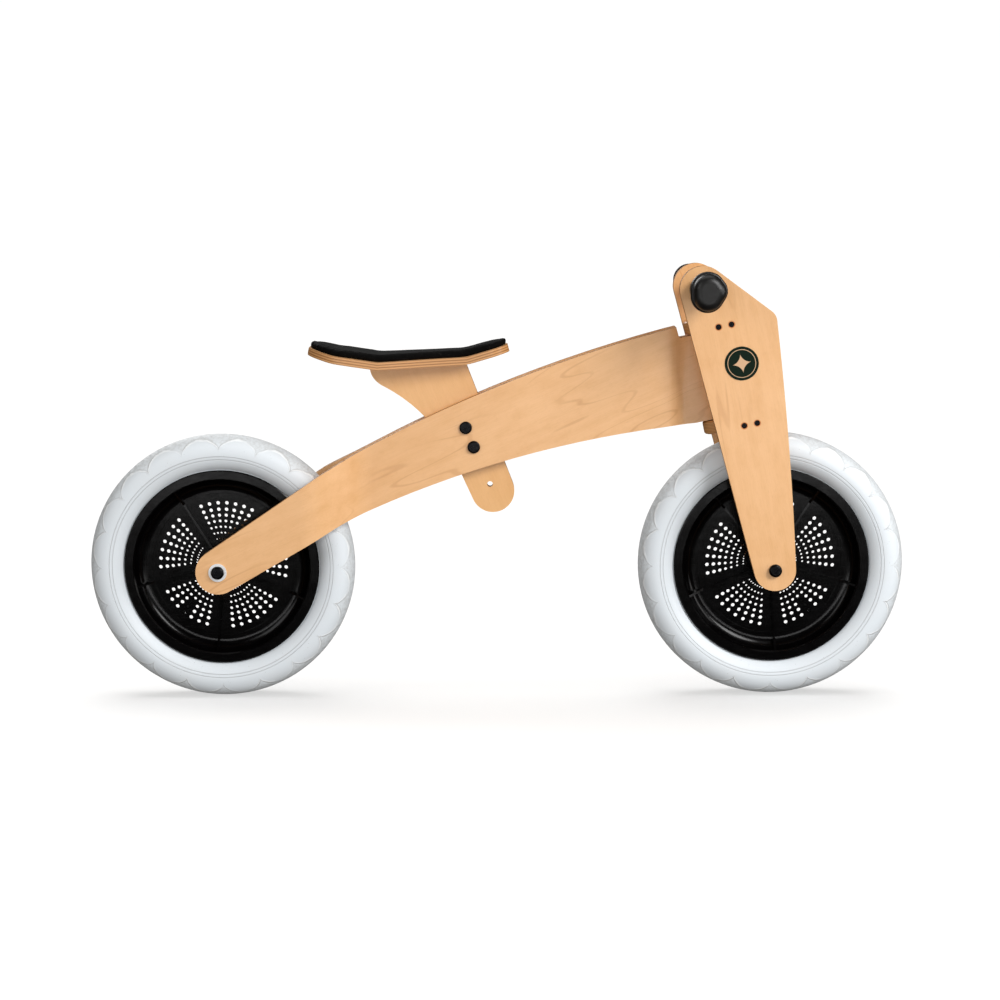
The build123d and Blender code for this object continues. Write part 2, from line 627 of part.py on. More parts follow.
def axle_bolt(xz):
    y = -OUT_Y - WASHER_T
    return button_head(xz, y, BOLT_HEAD_H, BOLT_HEAD_R, -1, HEX_SOCKET) + pin(xz, AXLE_BOLT_R, y, -IN_Y + 18)


# ---------------------------------------------------------------- wheels
def hole_centres(sector):
    spots = []
    for k in range(SECTORS):
        for ring, dia, step in zip(HOLE_RINGS, HOLE_DIAS, HOLE_STEPS):
            for c in range(HOLE_COLUMNS):
                a = math.radians(sector + 360 / SECTORS * k + (c - (HOLE_COLUMNS - 1) / 2) * step)
                spots.append((ring * math.cos(a), ring * math.sin(a), dia / 2))
    return spots


def wheel_disc(xz, sector, valve):
    w, floor = RIM_HALF_W, RIM_BASE_R - RIM_FLOOR
    inner = RIM_LIP_R - 1.2
    rim = spun(poly([(floor, -w + 1.5), (floor + 1.5, -w), (inner, -w), (RIM_LIP_R, -w + 0.8),
                     (RIM_LIP_R, -w + LIP_T - 0.6), (inner, -w + LIP_T), (RIM_BASE_R, -w + LIP_T),
                     (RIM_BASE_R, w - LIP_T), (inner, w - LIP_T), (RIM_LIP_R, w - LIP_T + 0.6),
                     (RIM_LIP_R, w - 0.8), (inner, w), (floor + 1.5, w), (floor, w - 1.5)]), xz)
    plate = Circle(floor + 1) - Circle(HUB_R - 2)
    plate -= Sketch() + [Pos(x, z) * Circle(r) for x, z, r in hole_centres(sector)]
    body = slab(Pos(*xz) * plate, -WEB_T / 2, WEB_T / 2) + rim
    hub = spun(poly([(BEARING_R - 2.5, -HUB_HALF), (HUB_R, -HUB_HALF), (HUB_R + 3, -WEB_T / 2),
                     (HUB_R + 3, WEB_T / 2), (HUB_R, HUB_HALF), (BEARING_R - 2.5, HUB_HALF)]), xz)
    body += hub
    h = WEB_T / 2 + STEP_H
    body += spun(poly([(STEP_R, -h), (STEP_R + STEP_W, -h), (STEP_R + STEP_W, h), (STEP_R, h)]), xz)
    for side in (-1, 1):
        y0, y1 = side * WEB_T / 2, side * (WEB_T / 2 + DISH_R)
        mid = (floor - DISH_R * (1 - math.sin(math.pi / 4)), y0 + side * DISH_R * (1 - math.cos(math.pi / 4)))
        body += spun([ThreePointArc((floor - DISH_R, y0), mid, (floor, y1)), Line((floor, y1), (floor + 1, y1)),
                      Line((floor + 1, y1), (floor + 1, 0)), Line((floor + 1, 0), (floor - DISH_R, 0)),
                      Line((floor - DISH_R, 0), (floor - DISH_R, y0))], xz)
    rib = make_face(Polyline((HUB_R + 1, -WEB_T / 2 - RIB_H), (STEP_R + 1, -WEB_T / 2 - RIB_END_H),
                             (STEP_R + 1, WEB_T / 2 + RIB_END_H), (HUB_R + 1, WEB_T / 2 + RIB_H), close=True))
    for k in range(SECTORS):
        a = sector + 180 / SECTORS + 360 / SECTORS * k
        blade = extrude(rib, amount=RIB_T / 2, both=True)
        body += Pos(xz[0], 0, xz[1]) * Rot(0, -a, 0) * blade
        outer = make_face(Polyline((STEP_R + 1, -w * 0.2), (floor + 0.5, -w * 0.85), (floor + 0.5, w * 0.85),
                                   (STEP_R + 1, w * 0.2), close=True))
        body += Pos(xz[0], 0, xz[1]) * Rot(0, -a, 0) * extrude(outer, amount=RIB_T / 2, both=True)
    for y0 in (-HUB_HALF - 1, HUB_HALF - BEARING_W - 0.4):
        body -= pin(xz, BEARING_R + FIT, y0, y0 + BEARING_W + 1.4)
    body -= pin(xz, BEARING_R - 2.5, -HUB_HALF, HUB_HALF)
    bore = Pos(xz[0], VALVE_Y, xz[1]) * Rot(0, -valve, 0) * Pos(RIM_BASE_R - 6, 0, 0) * \
        Rot(0, 90, 0) * Cylinder(VALVE_R + 0.4, 20)
    return body - bore


def wheel_tyre(xz):
    """Open casing: beads inside the rim's lips, round sidewalls and a slightly flatter tread."""
    bead_y = RIM_HALF_W - LIP_T - SOFT_GAP
    bead_r = RIM_BASE_R + SOFT_GAP
    lip_r = RIM_LIP_R + 0.6
    t, hw, tw = TYRE_WALL, TYRE_W / 2, TREAD_W / 2
    wide_r = lip_r + 0.42 * (TYRE_R - lip_r)
    should_r = TYRE_R - 6.0

    def wall(side):
        return [Line((bead_r, side * bead_y), (lip_r, side * bead_y)),
                ThreePointArc((lip_r, side * bead_y), (wide_r, side * hw), (should_r, side * tw))]

    outer = wall(-1) + [ThreePointArc((should_r, -tw), (TYRE_R, 0), (should_r, tw))] + wall(1)
    in_tip = TYRE_R - t - 2.0
    inner = [Line((bead_r, -bead_y), (bead_r, -bead_y + t)), Line((bead_r, bead_y), (bead_r, bead_y - t)),
             Line((bead_r, -bead_y + t), (lip_r, -bead_y + t)), Line((bead_r, bead_y - t), (lip_r, bead_y - t)),
             ThreePointArc((lip_r, -bead_y + t), (wide_r, -hw + t), (should_r - t, -tw + t)),
             ThreePointArc((lip_r, bead_y - t), (wide_r, hw - t), (should_r - t, tw - t)),
             ThreePointArc((should_r - t, -tw + t), (in_tip, 0), (should_r - t, tw - t))]
    return spun(outer + inner, xz)


TUBE_MID_R = TYRE_R - TYRE_WALL - 2.0 - 2 * SOFT_GAP - TUBE_R - 1.6


def wheel_tube(xz):
    ring = Pos(TUBE_MID_R, 0) * (Circle(TUBE_R) - Circle(TUBE_R - TUBE_WALL))
    return Pos(xz[0], 0, xz[1]) * revolve(ring, Axis.Y, 360)


def wheel_valve(xz, angle):
    top = TUBE_MID_R - math.sqrt(TUBE_R ** 2 - (VALVE_Y + VALVE_R) ** 2) - SOFT_GAP
    top = min(top, TUBE_MID_R - math.sqrt(TUBE_R ** 2 - (VALVE_Y - VALVE_R) ** 2) - SOFT_GAP)
    profile = poly([(VALVE_TIP_R, 0), (VALVE_TIP_R, VALVE_R - 1.0), (VALVE_TIP_R + 1, VALVE_R),
                    (VALVE_TIP_R + 11, VALVE_R), (VALVE_TIP_R + 11.5, VALVE_R - 0.5),
                    (VALVE_TIP_R + 18, VALVE_R - 0.5), (VALVE_TIP_R + 22, VALVE_R), (top, VALVE_R), (top, 0)])
    stem = revolve(face_of(profile), Axis.X, 360)
    return Pos(xz[0], VALVE_Y, xz[1]) * Rot(0, -angle, 0) * stem


def bearing(xz):
    """Right-hand bearing: two rings and a recessed shield, turned as one piece."""
    y0, y1, d = -HUB_HALF + 0.2, -HUB_HALF + 0.2 + BEARING_W, 0.5
    a, b, c, e = AXLE_R + RUN, AXLE_R + 2.4, BEARING_R - 2.4, BEARING_R
    return spun(poly([(a, y0), (b, y0), (b, y0 + d), (c, y0 + d), (c, y0), (e, y0),
                      (e, y1), (c, y1), (c, y1 - d), (b, y1 - d), (b, y1), (a, y1)]), xz)


# ---------------------------------------------------------------- write the pieces
os.makedirs("parts", exist_ok=True)


def save(name, shape):
    export_step(Pos(-WHEELBASE / 2, 0, 0) * shape, f"parts/{name}.step")


def save_pair(name, shape):
    save(name + "_right", shape)
    save(name + "_left", mirrored(shape))


save_pair("frame_panel", frame_panel())
save("steering_sleeve", steering_sleeve())
save("steering_bush_upper", steering_bush(True))
save("steering_bush_lower", steering_bush(False))
save("seat_post", seat_post())
save("seat_plank", seat_plank())
save("seat_pad", seat_pad())
for label, spot in zip(("rear", "front"), seat_screw_spots()):
    save("seat_screw_" + label, seat_screw(spot))
for label, xz in zip(("upper", "lower"), SEAT_BOLTS):
    save("seat_bolt_" + label, seat_bolt(xz))
    save("seat_nut_" + label, seat_nut(xz))

save_pair("fork_plank", fork_plank())
save("steering_block_upper", steering_block(UPPER_S))
save("steering_block_lower", steering_block(LOWER_S))
for i, xz in enumerate(screw_spots(), 1):
    save_pair(f"fork_screw_{i}", fork_screw(xz))
save("pivot_bolt", pivot_bolt())
save("pivot_washer", pivot_washer())
save("pivot_nut", pivot_nut())
save("handlebar", handlebar())
save_pair("grip", grip())
save_pair("badge", badge())

for end, xz, sector, valve, washer in (("rear", REAR, REAR_SECTOR, REAR_VALVE, REAR_WASHER_R),
                                       ("front", FRONT, FRONT_SECTOR, FRONT_VALVE, FRONT_WASHER_R)):
    save(end + "_axle_sleeve", axle_sleeve(xz))
    save_pair(end + "_hub_spacer", hub_spacer(xz))
    save_pair(end + "_axle_washer", axle_washer(xz, washer))
    save_pair(end + "_axle_bolt", axle_bolt(xz))
    save(end + "_wheel_disc", wheel_disc(xz, sector, valve))
    save(end + "_tyre", wheel_tyre(xz))
    save(end + "_inner_tube", wheel_tube(xz))
    save(end + "_valve", wheel_valve(xz, valve))
    save_pair(end + "_bearing", bearing(xz))
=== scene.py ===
# %% [markdown]
# # A child's balance bike in bent plywood
# A balance bike has no pedals: the rider sits low and pushes off with both feet. This one is two
# bent plywood panels that hold the rear wheel, two straight plywood planks that hold the front
# wheel, and a seat post clamped between the panels. The solid model gives every part its place,
# in metres, so this lesson only has to give each part its surface, its small details and its light.

# %% Load the solid model
import math
import bpy
import bmesh
from mathutils import Matrix, Vector


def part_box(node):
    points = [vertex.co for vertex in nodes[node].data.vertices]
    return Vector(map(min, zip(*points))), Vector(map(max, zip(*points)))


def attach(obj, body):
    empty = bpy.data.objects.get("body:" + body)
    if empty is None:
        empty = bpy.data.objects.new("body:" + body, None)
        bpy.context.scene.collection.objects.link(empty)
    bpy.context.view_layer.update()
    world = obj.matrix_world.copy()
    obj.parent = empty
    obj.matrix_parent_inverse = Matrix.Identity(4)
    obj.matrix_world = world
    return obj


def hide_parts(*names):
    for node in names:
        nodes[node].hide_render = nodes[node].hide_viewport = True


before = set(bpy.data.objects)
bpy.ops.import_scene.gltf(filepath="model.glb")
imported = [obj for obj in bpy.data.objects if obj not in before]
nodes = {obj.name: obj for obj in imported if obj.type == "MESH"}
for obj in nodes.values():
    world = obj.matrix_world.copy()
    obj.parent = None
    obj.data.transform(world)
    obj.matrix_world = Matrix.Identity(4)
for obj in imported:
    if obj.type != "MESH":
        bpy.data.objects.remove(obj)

SLOT_OF = {name: part.data.materials[0].name.split(".")[0] for name, part in nodes.items()}
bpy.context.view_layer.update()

# %% [markdown]
# Everything later is placed from the solid model. The middle of each wheel is the middle of its
# tyre's box, and the steering axis leans back by the same angle as the two fork planks.

# %% Key places on the bike
def middle(name):
    low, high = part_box(name)
    return (low + high) / 2


REAR_AXLE, FRONT_AXLE = middle("rear_tyre"), middle("front_tyre")
LEAN = math.radians(11.5)
TYRE_R = (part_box("rear_tyre")[1].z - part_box("rear_tyre")[0].z) / 2
print("axles:", tuple(round(v, 4) for v in REAR_AXLE), tuple(round(v, 4) for v in FRONT_AXLE),
      "tyre radius:", round(TYRE_R, 4))

# %% [markdown]
# The camera stands a couple of metres to the side, a little above the seat, and uses a long lens,
# so the two wheels look almost the same size and the near faces of the wood fill the view.

# %% Camera
def aim(yaw, pitch, roll):
    """Matrix columns of a camera that looks along +Y, turned left, tipped down and rolled."""
    y, p, r = (math.radians(v) for v in (yaw, pitch, roll))
    ahead = Vector((-math.sin(y) * math.cos(p), math.cos(y) * math.cos(p), -math.sin(p)))
    right = Vector((math.cos(y), math.sin(y), 0))
    down = ahead.cross(right)
    across = right * math.cos(r) + down * math.sin(r)
    up = right * math.sin(r) - down * math.cos(r)
    return Matrix((across, up, -ahead)).transposed().to_4x4()


lens = bpy.data.cameras.new("camera")
lens.lens, lens.sensor_width, lens.clip_start, lens.clip_end = 79.2, 36.0, 0.1, 60.0
camera = bpy.data.objects.new("camera", lens)
bpy.context.scene.collection.objects.link(camera)
camera.matrix_world = Matrix.Translation((0.0085, -2.4424, 0.5711)) @ aim(0.0997, 8.1616, 0.2485)
bpy.context.scene.camera = camera
bpy.context.scene.view_settings.view_transform = "Standard"
print("camera at", tuple(round(v, 3) for v in camera.location))

# %% [markdown]
# A material is a small graph of nodes. Writing the graph as sums is easier to read than placing
# nodes one by one, so a small class holds one output of the graph, and adding or multiplying
# two of them adds the matching Math node. A second class holds the graph itself.

# %% Shader sums
class Value:
    """One output in a material's graph; sums on it add Math nodes."""

    def __init__(self, paint, socket):
        self.paint, self.socket = paint, socket

    def sum(self, operation, *inputs):
        return self.paint.node("ShaderNodeMath", {"operation": operation}, list(inputs))

    def __add__(self, other):
        return self.sum("ADD", self, other)

    def __sub__(self, other):
        return self.sum("SUBTRACT", self, other)

    def __rsub__(self, other):
        return self.sum("SUBTRACT", other, self)

    def __mul__(self, other):
        return self.sum("MULTIPLY", self, other)

    def __truediv__(self, other):
        return self.sum("DIVIDE", self, other)

    def __rtruediv__(self, other):
        return self.sum("DIVIDE", other, self)

    def __pow__(self, other):
        return self.sum("POWER", self, other)

    def __abs__(self):
        return self.sum("ABSOLUTE", self)

    __radd__, __rmul__ = __add__, __mul__

    def lowest(self, other):
        return self.sum("MINIMUM", self, other)

    def highest(self, other):
        return self.sum("MAXIMUM", self, other)

    def wave(self):
        return self.sum("SINE", self)

    def part(self):
        """What is left past the whole number."""
        return self.sum("FRACT", self)

    def rise(self, start, end):
        """0 before start, 1 after end, smooth between."""
        return self.paint.node("ShaderNodeMapRange", {"interpolation_type": "SMOOTHSTEP"},
                               {"Value": self, "From Min": start, "From Max": end})

    def band(self, centre, half, soft):
        """1 within half of centre, falling to 0 over soft."""
        return 1 - abs(self - centre).rise(half, half + soft)


class Paint:
    """A material's graph. node() adds any node: settings first, then its sockets."""

    def __init__(self, name):
        self.material = bpy.data.materials.new(name)
        self.material.use_nodes = True
        self.tree = self.material.node_tree
        self.tree.nodes.clear()
        self.place = self.node("ShaderNodeTexCoord", out="Object")

    def node(self, kind, settings=None, sockets=(), out=0):
        made = self.tree.nodes.new(kind)
        for key, value in (settings or {}).items():
            if key == "stops":
                ramp = made.color_ramp
                while len(ramp.elements) < len(value):
                    ramp.elements.new(0.5)
                for stop, (at, colour) in zip(ramp.elements, value):
                    stop.position, stop.color = at, (*colour, 1)
            else:
                setattr(made, key, value)
        pairs = sockets.items() if isinstance(sockets, dict) else enumerate(sockets)
        for key, value in pairs:
            if isinstance(value, Value):
                self.tree.links.new(value.socket, made.inputs[key])
            else:
                made.inputs[key].default_value = value
        return None if out is None else Value(self, made.outputs[out])

    def axes(self, vector=None):
        parts = self.node("ShaderNodeSeparateXYZ", sockets=[vector or self.place]).socket.node
        return [Value(self, o) for o in parts.outputs]

    def facing(self):
        """The surface's own direction, as x, y and z."""
        return self.axes(self.node("ShaderNodeTexCoord", out="Normal"))

    def turned(self, angle=0.0, move=(0, 0, 0), scale=(1, 1, 1)):
        """Coordinates moved, then turned about the Y axis, then stretched."""
        moved = self.node("ShaderNodeMapping", sockets={"Vector": self.place, "Location": move})
        turn = self.node("ShaderNodeMapping", sockets={"Vector": moved, "Rotation": (0, angle, 0)})
        return self.node("ShaderNodeMapping", sockets={"Vector": turn, "Scale": scale})

    def noise(self, vector, scale, detail=2.0, rough=0.5):
        return self.node("ShaderNodeTexNoise", sockets={"Vector": vector, "Scale": scale,
                                                        "Detail": detail, "Roughness": rough})

    def specks(self, vector, scale):
        return self.node("ShaderNodeTexVoronoi", sockets={"Vector": vector, "Scale": scale})

    def blend(self, share, first, second):
        """Mix of two colours, each three numbers or a colour in the graph."""
        full = [c if isinstance(c, Value) else (*c, 1) for c in (first, second)]
        return self.node("ShaderNodeMix", {"data_type": "RGBA"},
                         {0: share, 6: full[0], 7: full[1]}, out=2)

    def bump(self, height, depth, before=None):
        """A surface direction from heights in metres times depth."""
        sockets = {"Height": height, "Strength": 1.0, "Distance": depth}
        if before is not None:
            sockets["Normal"] = before
        return self.node("ShaderNodeBump", sockets=sockets)

    def finish(self, **sockets):
        """The Principled surface; names use _ for a space."""
        named = {}
        for key, value in sockets.items():
            key = key.replace("_", " ")
            named[key] = (*value, 1) if isinstance(value, tuple) and len(value) == 3 else value
        surface = self.node("ShaderNodeBsdfPrincipled", sockets=named)
        self.node("ShaderNodeOutputMaterial", sockets=[surface], out=None)
        return self.material


print("shader helpers ready")

# %% [markdown]
# The wood is pale birch plywood under a satin lacquer. Its face veneer is peeled from the log, so
# it shows broad, faint waves and fine short pores that run along the part. A cut edge shows the
# plies instead: light and dark lines across the thickness. Both come from one recipe, which needs
# to know the slope of the grain and, at every point, how deep that point lies in the thickness.

# %% The plywood recipe
MM = 0.001
PLY_LIGHT, PLY_DEEP = (0.80, 0.462, 0.218), (0.69, 0.365, 0.145)
EDGE_LIGHT, EDGE_DARK = (0.62, 0.315, 0.115), (0.32, 0.125, 0.030)


def veneer(paint, slope, light, deep):
    """Face colour and fine relief of a veneer whose grain rises by slope from the X axis."""
    along = paint.turned(slope)
    broad = paint.noise(paint.turned(slope, scale=(5, 30, 16)), 1.0, 3.0, 0.55)
    drift = paint.noise(paint.turned(slope, scale=(3, 8, 9)), 1.0, 2.0)
    _, y, z = paint.axes(along)
    rings = (z * 420 + drift * 26 + y * 60).wave() * 0.5 + 0.5
    streak = paint.noise(paint.turned(slope, scale=(30, 400, 900)), 1.0, 2.0, 0.6)
    pore = paint.noise(paint.turned(slope, scale=(160, 2500, 3200)), 1.0, 1.0).rise(0.60, 0.74)
    cloud = paint.noise(paint.turned(slope, scale=(38, 70, 80)), 1.0, 4.0, 0.62)
    tone = (broad.rise(0.30, 0.72) * 0.42 + rings * 0.12 + streak.rise(0.35, 0.7) * 0.2
            + cloud.rise(0.4, 0.72) * 0.34)
    colour = paint.blend(tone, light, deep)
    growth = paint.noise(paint.turned(slope, scale=(2.6, 12, 21)), 1.0, 1.6)
    saw = (growth * 11).part()
    where = paint.noise(paint.turned(slope, scale=(7, 11, 12), move=(0.3, 0, 0.1)), 1.0, 1.0)
    line = saw.band(0.5, 0.015, 0.06) * where.rise(0.45, 0.60)
    colour = paint.blend(line * 0.38, colour, (0.52, 0.24, 0.080))
    colour = paint.blend(pore * 0.30, colour, (0.50, 0.25, 0.11))
    return colour, streak * 0.25 - pore * 0.6


def plywood(name, slope, depth, plies, edge=None, light=PLY_LIGHT, deep=PLY_DEEP, screws=()):
    """Ply whose depth(paint) runs 0 to 1 across the sheet, and edge(paint) is 1 on cut edges."""
    paint = Paint(name)
    colour, relief = veneer(paint, slope, light, deep)
    across = paint.facing()[1]
    cut = edge(paint) if edge else 1 - abs(across).rise(0.35, 0.75)
    layer = (depth(paint) * (plies * math.pi)).wave() ** 2
    rough_cut = paint.noise(paint.turned(slope, scale=(300, 900, 900)), 1.0, 2.0)
    lines = paint.blend(layer.rise(0.12, 0.75) * 0.85 + rough_cut * 0.15, EDGE_DARK, EDGE_LIGHT)
    colour = paint.blend(cut, colour, lines)
    if screws:
        x, _, z = paint.axes()
        reach = None
        for spot in screws:
            far = ((x - spot.x) ** 2 + (z - spot.z) ** 2) ** 0.5
            reach = far if reach is None else reach.lowest(far)
        colour = paint.blend(1 - reach.rise(3.3 * MM, 4.7 * MM), colour, (0.55, 0.17, 0.03))
    haze = paint.noise(paint.place, 60, 3.0)
    height = relief * (1 - cut) + layer * cut * 0.8
    return paint.finish(Base_Color=colour, Roughness=haze * 0.16 + 0.36 + cut * 0.14, IOR=1.46,
                        Normal=paint.bump(height, 0.06 * MM), Coat_Weight=0.35,
                        Coat_Roughness=0.24)


print("face veneer", PLY_LIGHT, "edge", EDGE_DARK)

# %% [markdown]
# The two frame panels run beside the rear wheel, bend in to meet the seat post and bend once more
# to close round the steering sleeve. The plies follow those bends, so the depth in the sheet is
# the distance from a middle line that moves inwards at each bend.

# %% Frame panels
SHEET = 12 * MM
ARM_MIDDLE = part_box("frame_panel_right")[0].y + SHEET / 2
REAR_BEND, HEAD_BEND = (-0.200, -0.153), (0.190, 0.209)


def panel_depth(paint):
    x, y, _ = paint.axes()
    line = (ARM_MIDDLE * -1 - x.rise(*REAR_BEND) * 34 * MM - x.rise(*HEAD_BEND) * 6 * MM)
    return (abs(y) - line) / SHEET + 0.5


panel_ply = plywood("panel plywood", math.radians(24), panel_depth, 9,
                    edge=lambda paint: 1 - abs(paint.facing()[1]).rise(0.45, 0.70))
for side in ("right", "left"):
    nodes["frame_panel_" + side].data.materials[0] = panel_ply
print("panel middle line starts at", round(ARM_MIDDLE, 4))

# %% [markdown]
# The fork planks are straight, so the depth is simply measured from their inner face. The heads of
# the screws sit in recesses whose burnt rims show as small orange rings.

# %% Fork planks
PLANK_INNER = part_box("fork_plank_left")[0].y
SCREWS = [middle(f"fork_screw_{i}_right") for i in range(1, 5)]
plank_ply = plywood("plank plywood", math.radians(90) + LEAN,
                    lambda paint: (abs(paint.axes()[1]) - PLANK_INNER) / SHEET, 9, screws=SCREWS)
for side in ("right", "left"):
    nodes["fork_plank_" + side].data.materials[0] = plank_ply
print("plank inner face at", round(PLANK_INNER, 4))

# %% [markdown]
# The seat post is a little yellower than the rest. The seat itself is a thin sheet bent to a
# saddle, so its depth is measured square from the curve of its underside, which a ramp holds as a
# few heights along the seat.

# %% Seat post and seat sheet
POST_LEAN = math.radians(22.4)
post_ply = plywood("post plywood", math.radians(90) + POST_LEAN,
                   lambda paint: paint.axes()[1] / SHEET + 0.5, 9,
                   light=(0.79, 0.445, 0.185), deep=(0.70, 0.365, 0.130))
nodes["seat_post"].data.materials[0] = post_ply

SEAT_LOW, SEAT_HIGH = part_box("seat_plank")
SEAT_SHEET = 8.5 * MM
BOLTS = (middle("seat_bolt_upper") + middle("seat_bolt_lower")) / 2
CURVE_BASE, CURVE_REACH = 70, 40      # lowest height the ramp holds, and how much it spans
CURVE = ((-179.5, 92.0), (-150.5, 84.0), (-100.5, 76.3), (-2.5, 81.0), (44.5, 94.6))


def seat_depth(paint):
    x, _, z = paint.axes()
    start, span = CURVE[0][0], CURVE[-1][0] - CURVE[0][0]
    share = (x - (BOLTS.x + start * MM)) / (span * MM)
    stops = [((cx - start) / span, ((cz - CURVE_BASE) / CURVE_REACH,) * 3) for cx, cz in CURVE]
    rise = paint.node("ShaderNodeValToRGB", {"stops": stops}, [share])
    under = rise * (CURVE_REACH * MM) + (BOLTS.z + CURVE_BASE * MM)
    return (z - under) / (SEAT_SHEET * 1.02)


seat_ply = plywood("seat plywood", 0.0, seat_depth, 3,
                   edge=lambda paint: 1 - abs(paint.facing()[2]).rise(0.62, 0.85))
nodes["seat_plank"].data.materials[0] = seat_ply
print("seat from", round(SEAT_LOW.x, 3), "to", round(SEAT_HIGH.x, 3))

# %% [markdown]
# The two blocks that tie the planks together are cut from thicker birch ply. Their ply is painted
# darker and more orange than the rest, as painted shade between the planks, and the handlebar is a
# plain turned dowel.

# %% Steering blocks and handlebar
def block_ply(name, node):
    centre = middle(node)

    def depth(paint):
        _, _, up = paint.axes(paint.turned(LEAN, move=tuple(-centre)))
        return up / (15 * MM) + 0.5

    # Painted shade: these darker, more orange ply colours stand in for the shade between the fork planks.
    return plywood(name, 0.0, depth, 9, light=(0.64, 0.29, 0.085), deep=(0.50, 0.21, 0.055),
                   edge=lambda paint: 1 - abs(paint.axes(paint.node(
                       "ShaderNodeMapping", sockets={"Vector": paint.node(
                           "ShaderNodeTexCoord", out="Normal"),
                           "Rotation": (0, LEAN, 0)}))[2]).rise(0.5, 0.8))


nodes["steering_block_upper"].data.materials[0] = block_ply("upper block", "steering_block_upper")
nodes["steering_block_lower"].data.materials[0] = block_ply("lower block", "steering_block_lower")

dowel = Paint("dowel wood")
dowel_colour, dowel_relief = veneer(dowel, 0.0, (0.74, 0.44, 0.23), (0.60, 0.32, 0.14))
nodes["handlebar"].data.materials[0] = dowel.finish(
    Base_Color=dowel_colour, Roughness=0.5, Normal=dowel.bump(dowel_relief, 0.05 * MM))
print("blocks and dowel done")

# %% [markdown]
# The tyres are off-white rubber. A row of twenty petals is moulded on each shoulder, with two fine
# rings below them. Each petal's ridge is painted lighter as a painted highlight, with a painted shade
# just inside it, the two ring grooves are painted grey as shade, and the rubber turns greyer towards
# the tread. All of it is drawn from the angle round the axle and the distance from it, so the same
# recipe serves both wheels once it is moved to its axle.

# %% Tyre rubber
PETALS = 20


def tyre_rubber(name, axle):
    paint = Paint(name)
    moved = paint.node("ShaderNodeMapping", sockets={"Vector": paint.place,
                                                     "Location": tuple(-axle)})
    x, y, z = paint.axes(moved)
    radius = (x * x + z * z) ** 0.5
    angle = z.sum("ARCTAN2", z, x)
    turn = abs((angle * (PETALS / 2)).wave())
    petal = turn ** 0.55 * (12.5 * MM) + 131.5 * MM
    gap = radius - petal + (paint.noise(moved, 120, 2.0) - 0.5) * (2.4 * MM)
    shoulder = radius.rise(129.5 * MM, 131 * MM)
    worn = paint.noise(moved, 55, 2.0).rise(0.36, 0.60) * 0.75 + 0.25
    ridge_and_highlight = gap.band(0.0, 0.5 * MM, 0.7 * MM) * shoulder * worn
    shade = gap.band(1.7 * MM, 0.4 * MM, 0.9 * MM) * shoulder * worn
    outside = gap.rise(0.2 * MM, 0.9 * MM)
    rings = radius.band(121.6 * MM, 0.15 * MM, 0.5 * MM).highest(
        radius.band(125.0 * MM, 0.15 * MM, 0.5 * MM))
    tread = (1 - abs(y).rise(11 * MM, 15 * MM)) * radius.rise(140 * MM, 143 * MM)
    cross = ((angle * 90).wave() + (y * 900).wave() * 0.6).rise(-0.2, 0.5)
    grit = paint.specks(moved, 260).rise(0.03, 0.12)
    fine = paint.noise(moved, 1400, 2.0)
    cloud = paint.noise(moved, 26, 4.0, 0.6)
    white, grey = (0.70, 0.745, 0.785), (0.48, 0.49, 0.49)
    colour = paint.blend(cloud.rise(0.35, 0.8) * 0.16, white, (0.70, 0.70, 0.685))
    scuffs = paint.noise(moved, 300, 3.0, 0.7)
    grey_outside_and_tread = outside * (0.10 + scuffs.rise(0.4, 0.65) * 0.35)
    # The rubber is painted greyer towards the tread.
    grey_outside_and_tread = grey_outside_and_tread + radius.rise(136 * MM, 147 * MM) * 0.30
    colour = paint.blend(grey_outside_and_tread, colour, grey)
    # Painted shade just inside each petal's ridge, then a painted highlight along the ridge itself.
    colour = paint.blend(shade * 0.5, colour, grey)
    colour = paint.blend(ridge_and_highlight * 0.8, colour, (0.84, 0.86, 0.87))
    # Painted shade: the two fine ring grooves are painted grey.
    colour = paint.blend(rings * 0.45, colour, grey)
    seldom = paint.noise(moved, 90, 1.0).rise(0.52, 0.62)
    colour = paint.blend((1 - grit) * seldom * 0.75, colour, (0.26, 0.25, 0.23))
    height = (ridge_and_highlight * 0.5 - outside * 0.3 - shade * 0.2 - rings * 0.5 + tread * cross * 0.4
              + fine * 0.06 + scuffs * outside * 0.4)
    return paint.finish(Base_Color=colour, Roughness=cloud * 0.2 + 0.42, IOR=1.5,
                        Normal=paint.bump(height, 0.8 * MM))


nodes["rear_tyre"].data.materials[0] = tyre_rubber("rear tyre rubber", REAR_AXLE)
nodes["front_tyre"].data.materials[0] = tyre_rubber("front tyre rubber", FRONT_AXLE)
print("petals each side:", PETALS, "pitch:", 360 / PETALS)

# %% [markdown]
# The wheel discs are moulded in glossy black plastic. Gloss that is perfectly even looks false, so
# the recipe adds the slight ripple of a moulding, fine wiping marks and a little dust.

# %% Black plastic of the wheel discs
def black_plastic(name, axle):
    paint = Paint(name)
    moved = paint.node("ShaderNodeMapping", sockets={"Vector": paint.place,
                                                     "Location": tuple(-axle)})
    ripple = paint.noise(moved, 45, 2.0)
    marks = paint.noise(paint.node("ShaderNodeMapping", sockets={
        "Vector": moved, "Rotation": (0, 0.7, 0), "Scale": (60, 60, 1400)}), 1.0, 2.0, 0.6)
    dust = paint.noise(moved, 30, 4.0, 0.65)
    colour = paint.blend(dust.rise(0.5, 0.85) * 0.25, (0.0008, 0.0006, 0.0007),
                         (0.006, 0.006, 0.006))
    return paint.finish(Base_Color=colour, Roughness=marks.rise(0.45, 0.8) * 0.10 + dust * 0.08 + 0.14,
                        Specular_IOR_Level=0.20, Normal=paint.bump(ripple * 0.7 + marks * 0.04, 0.25 * MM))


for end, axle in (("rear", REAR_AXLE), ("front", FRONT_AXLE)):
    nodes[end + "_wheel_disc"].data.materials[0] = black_plastic(end + " disc plastic", axle)
print("discs done")
